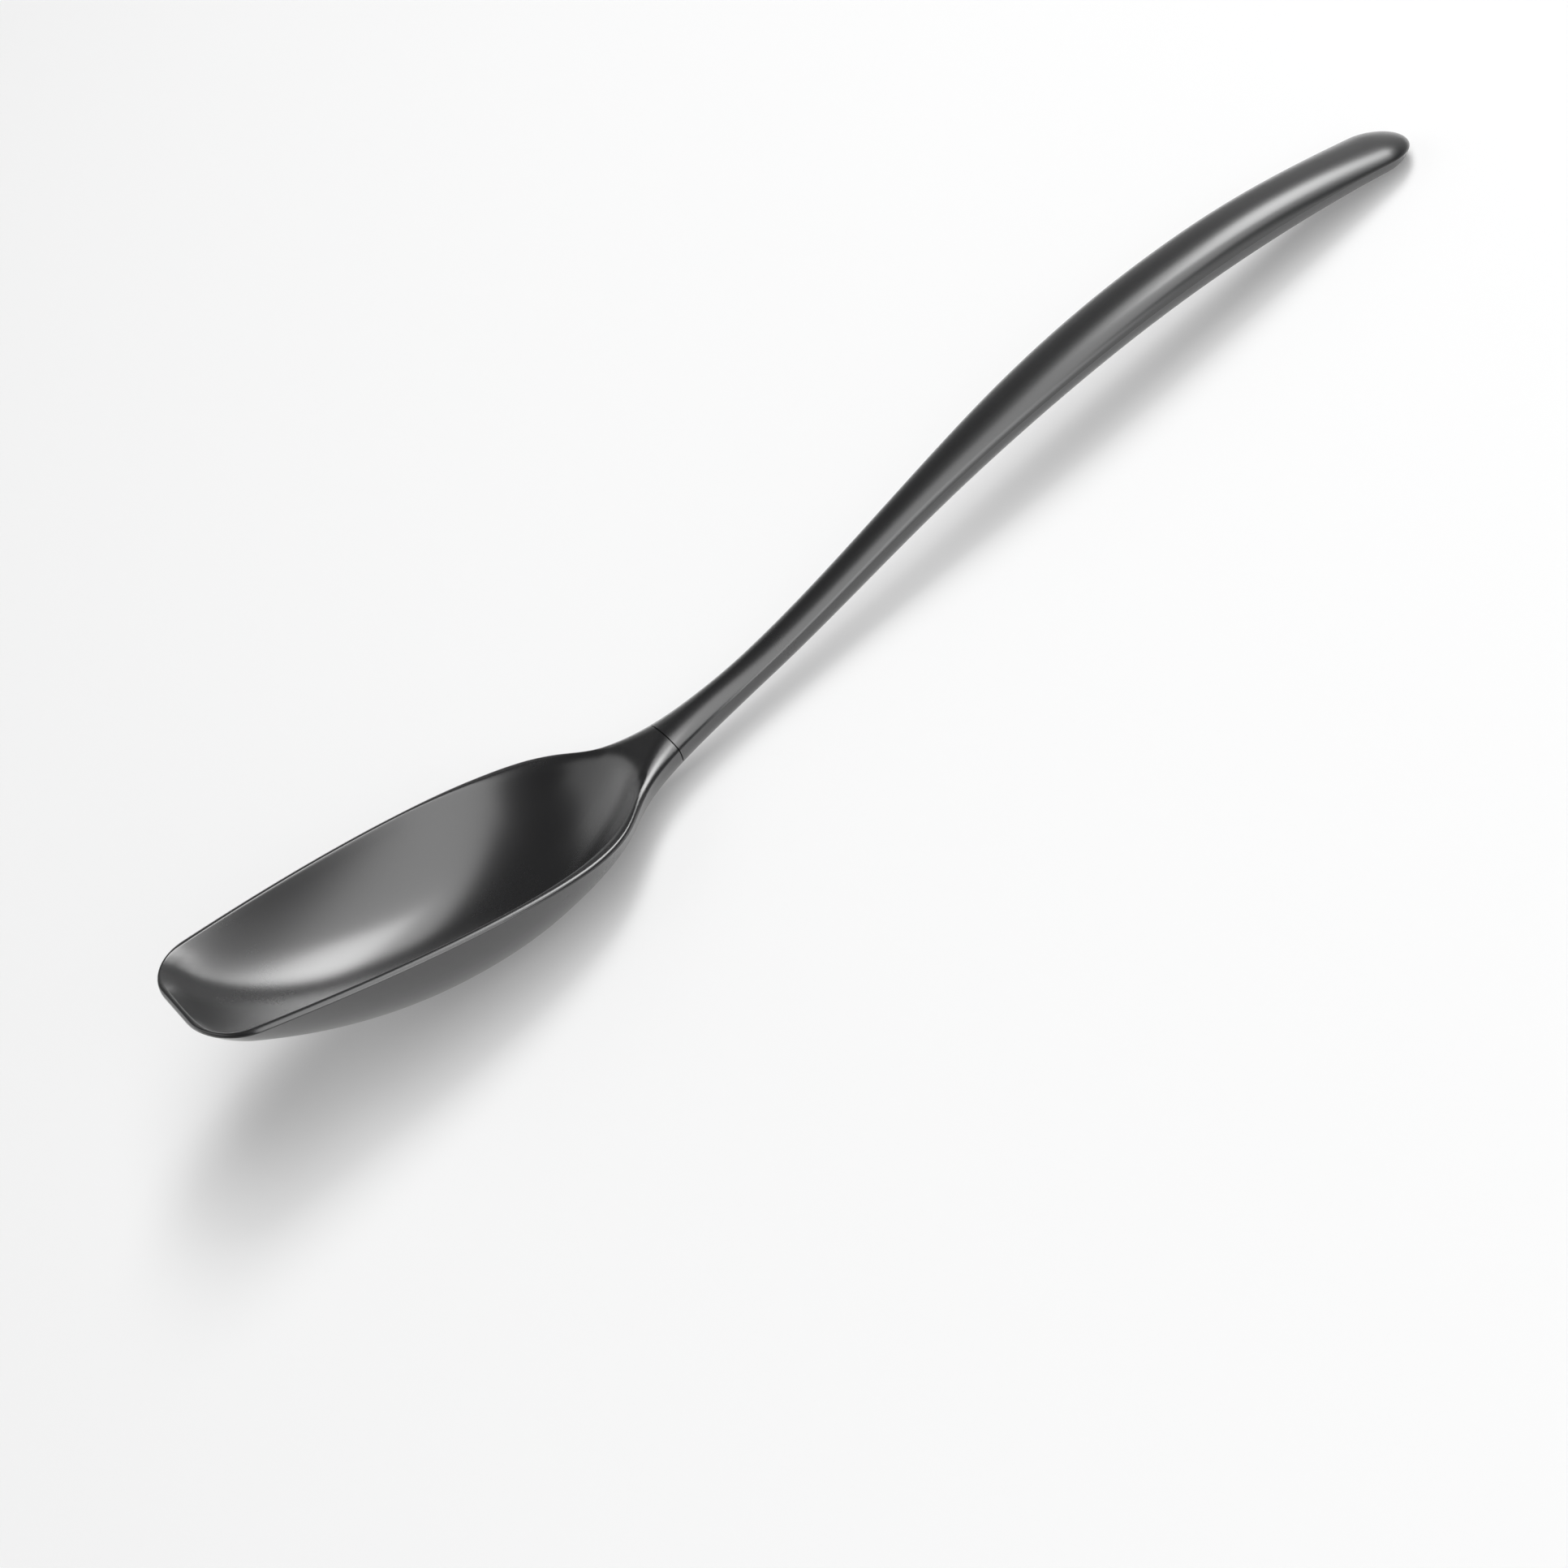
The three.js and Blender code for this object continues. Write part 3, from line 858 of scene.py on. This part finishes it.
class SPOON_OT_bowl_head(bpy.types.Operator):
    """Build the bowl with its rim, web, neck and tang"""

    bl_idname = "spoon.bowl_head"
    bl_label = "Bowl head"
    bl_options = {"REGISTER", "UNDO"}

    def execute(self, context):
        scene = context.scene
        s = scene.spoon_sizes
        form = SpoonForm(s)
        end = form.seam_at - s.seam_gap / 2 - s.seam_flank
        outline, seam_start = head_outline(form, end)
        bm = bmesh.new()
        top = add_inside(bm, form, outline)
        bottom = add_belly(bm, form, outline)
        seam = range(seam_start, seam_start + 2 * SEAM_EDGES + 1)
        across = seam[1:-1]
        twins = {bottom[i]: top[i] for i in range(len(outline)) if i not in across}
        bmesh.ops.weld_verts(bm, targetmap=twins)
        seam_loop = [top[i] for i in seam] + [bottom[i] for i in reversed(across)]
        add_tang(bm, form, seam_loop, end)
        cut_foot(bm)
        finish_piece(bm, "melamine_bowl_head", "bowl_head", melamine(scene.spoon_finish))
        return {"FINISHED"}


class SPOON_OT_handle(bpy.types.Operator):
    """Build the arched handle with the socket for the tang"""

    bl_idname = "spoon.handle"
    bl_label = "Handle"
    bl_options = {"REGISTER", "UNDO"}

    def execute(self, context):
        scene = context.scene
        s = scene.spoon_sizes
        form = SpoonForm(s)
        start = form.seam_at + s.seam_gap / 2
        socket_end = form.seam_at + s.tang_length + s.tang_clearance
        sockets = [*spaced(socket_end, start, TANG_LOOPS), start]
        tip_start = form.tip_at - s.tip_round
        stations = [
            *spaced(start + s.seam_flank, tip_start, HANDLE_LOOPS),
            *closing_up(tip_start, form.tip_at, TIP_LOOPS),
            form.tip_at - END_STEP,
        ]
        bm = bmesh.new()
        rings = [form.tang_ring(at, s.tang_clearance, HANDLE_SIDES) for at in sockets]
        outside = [form.ring(at, HANDLE_SIDES) for at in stations]
        rings += [form.sunk_ring(outside[0], -s.seam_flank), *outside]
        middle = sum(rings[0], Vector()) / HANDLE_SIDES
        loop = capped_loop(bm, rings[0], middle)
        for ring in rings[1:]:
            loop = grow(bm, loop, ring)
        cap(bm, loop)
        finish_piece(bm, "melamine_handle", "handle", melamine(scene.spoon_finish))
        return {"FINISHED"}


def add_floor(color, whiteness):
    """A wide pale floor just under the spoon that curves up at its edge, see-through from below."""
    bm = bmesh.new()
    made = bmesh.ops.create_circle(
        bm, cap_ends=True, cap_tris=True, segments=FLOOR_SIDES, radius=FLOOR_RADIUS
    )["verts"]
    rim = [vertex for vertex in made if len(vertex.link_edges) == 3]
    for step in range(1, COVE_LOOPS + 1):
        angle = math.pi / 2 * step / COVE_LOOPS
        reach = FLOOR_RADIUS + COVE_RADIUS * math.sin(angle)
        rise = COVE_RADIUS * (1 - math.cos(angle))
        rim = grow(bm, rim, [Vector((*vertex.co.xy.normalized() * reach, rise)) for vertex in rim])
    bmesh.ops.translate(bm, verts=bm.verts, vec=(0, 0, -FLOOR_GAP))
    for face in bm.faces:
        face.smooth = True
    mesh = bpy.data.meshes.new("floor")
    bm.to_mesh(mesh)
    bm.free()
    floor = bpy.data.objects.new("floor", mesh)
    bpy.context.scene.collection.objects.link(floor)
    material, start = new_material("pale_floor")
    paint = start.node("ShaderNodeBsdfDiffuse", inputs={"Color": (*color, 1)})
    glow = start.node("ShaderNodeEmission", inputs={"Color": (1, 1, 1, 1)})
    clear = start.node("ShaderNodeBsdfTransparent")
    below = start.node("ShaderNodeNewGeometry", output="Backfacing")
    seen = start.node("ShaderNodeLightPath", output="Is Camera Ray")
    for ray in ("Is Glossy Ray", "Is Transmission Ray"):
        seen = start.math("MAXIMUM", seen, start.node("ShaderNodeLightPath", output=ray))
    paint = start.node("ShaderNodeMixShader", inputs={0: seen * whiteness, 1: paint, 2: glow})
    show(start, start.node("ShaderNodeMixShader", inputs={0: below, 1: paint, 2: clear}))
    mesh.materials.append(material)


def add_lamp(name, place, turn, width, length, radiance):
    """A soft rectangular lamp that faces the spoon, with its length turned to an azimuth."""
    lamp = bpy.data.lights.new(name, "AREA")
    lamp.shape = "RECTANGLE"
    lamp.size = width
    lamp.size_y = length
    lamp.energy = radiance * math.pi * width * length
    holder = bpy.data.objects.new(name, lamp)
    bpy.context.scene.collection.objects.link(holder)
    away = Vector(place).normalized()
    heading = Vector((math.cos(turn), math.sin(turn), 0))
    lengthways = (heading - away * heading.dot(away)).normalized()
    axes = Matrix((lengthways.cross(away), lengthways, away)).transposed()
    holder.matrix_world = Matrix.Translation(place) @ axes.to_4x4()
    holder.visible_camera = False


def add_camera(stage):
    """The camera, turned about its line of sight as the spoon is shown."""
    camera = bpy.data.cameras.new("camera")
    camera.sensor_width = SENSOR_WIDTH
    camera.lens = stage.camera_lens
    holder = bpy.data.objects.new("camera", camera)
    bpy.context.scene.collection.objects.link(holder)
    sight = Vector(stage.camera_target) - Vector(stage.camera_at)
    facing = sight.to_track_quat("-Z", "Y").to_matrix().to_4x4()
    roll = Matrix.Rotation(stage.camera_roll, 4, "Z")
    holder.matrix_world = Matrix.Translation(stage.camera_at) @ facing @ roll
    bpy.context.scene.camera = holder


def add_surroundings(strength):
    """A dim, even studio round the stage."""
    world = bpy.data.worlds.new("studio")
    world.use_nodes = True
    backdrop = world.node_tree.nodes["Background"]
    backdrop.inputs["Color"].default_value = (1, 1, 1, 1)
    backdrop.inputs["Strength"].default_value = strength
    bpy.context.scene.world = world


class SPOON_OT_stage(bpy.types.Operator):
    """Set up the floor, the lamps and the camera"""

    bl_idname = "spoon.stage"
    bl_label = "Stage"
    bl_options = {"REGISTER", "UNDO"}

    def execute(self, context):
        scene = context.scene
        stage = scene.spoon_stage
        add_floor(stage.floor, stage.floor_whiteness)
        add_surroundings(stage.surroundings)
        for name, (place, turn, width, length) in LAMPS.items():
            radiance = getattr(stage, f"{name}_radiance")
            add_lamp(f"{name}_lamp", place, math.radians(turn), width, length, radiance)
        add_camera(stage)
        scene.view_settings.view_transform = "Standard"
        return {"FINISHED"}


class SPOON_PT_panel(bpy.types.Panel):
    """The spoon's sizes, finish and build steps"""

    bl_idname = "SPOON_PT_panel"
    bl_label = "Cooking Spoon"
    bl_space_type = "VIEW_3D"
    bl_region_type = "UI"
    bl_category = "Spoon"

    def draw(self, context):
        layout = self.layout
        for operator in (SPOON_OT_bowl_head, SPOON_OT_handle, SPOON_OT_stage):
            layout.operator(operator.bl_idname)
        scene = context.scene
        for group in (scene.spoon_sizes, scene.spoon_finish, scene.spoon_stage):
            box = layout.box()
            for name in group.__annotations__:
                box.prop(group, name)


CLASSES = (
    SpoonSizes,
    SpoonFinish,
    SpoonStage,
    SPOON_OT_bowl_head,
    SPOON_OT_handle,
    SPOON_OT_stage,
    SPOON_PT_panel,
)


def register():
    for cls in CLASSES:
        bpy.utils.register_class(cls)
    bpy.types.Scene.spoon_sizes = PointerProperty(type=SpoonSizes)
    bpy.types.Scene.spoon_finish = PointerProperty(type=SpoonFinish)
    bpy.types.Scene.spoon_stage = PointerProperty(type=SpoonStage)


def unregister():
    del bpy.types.Scene.spoon_stage
    del bpy.types.Scene.spoon_finish
    del bpy.types.Scene.spoon_sizes
    for cls in reversed(CLASSES):
        bpy.utils.unregister_class(cls)


def main():
    register()
    bpy.ops.spoon.bowl_head()
    bpy.ops.spoon.handle()
    bpy.ops.spoon.stage()


if __name__ == "__main__":
    main()
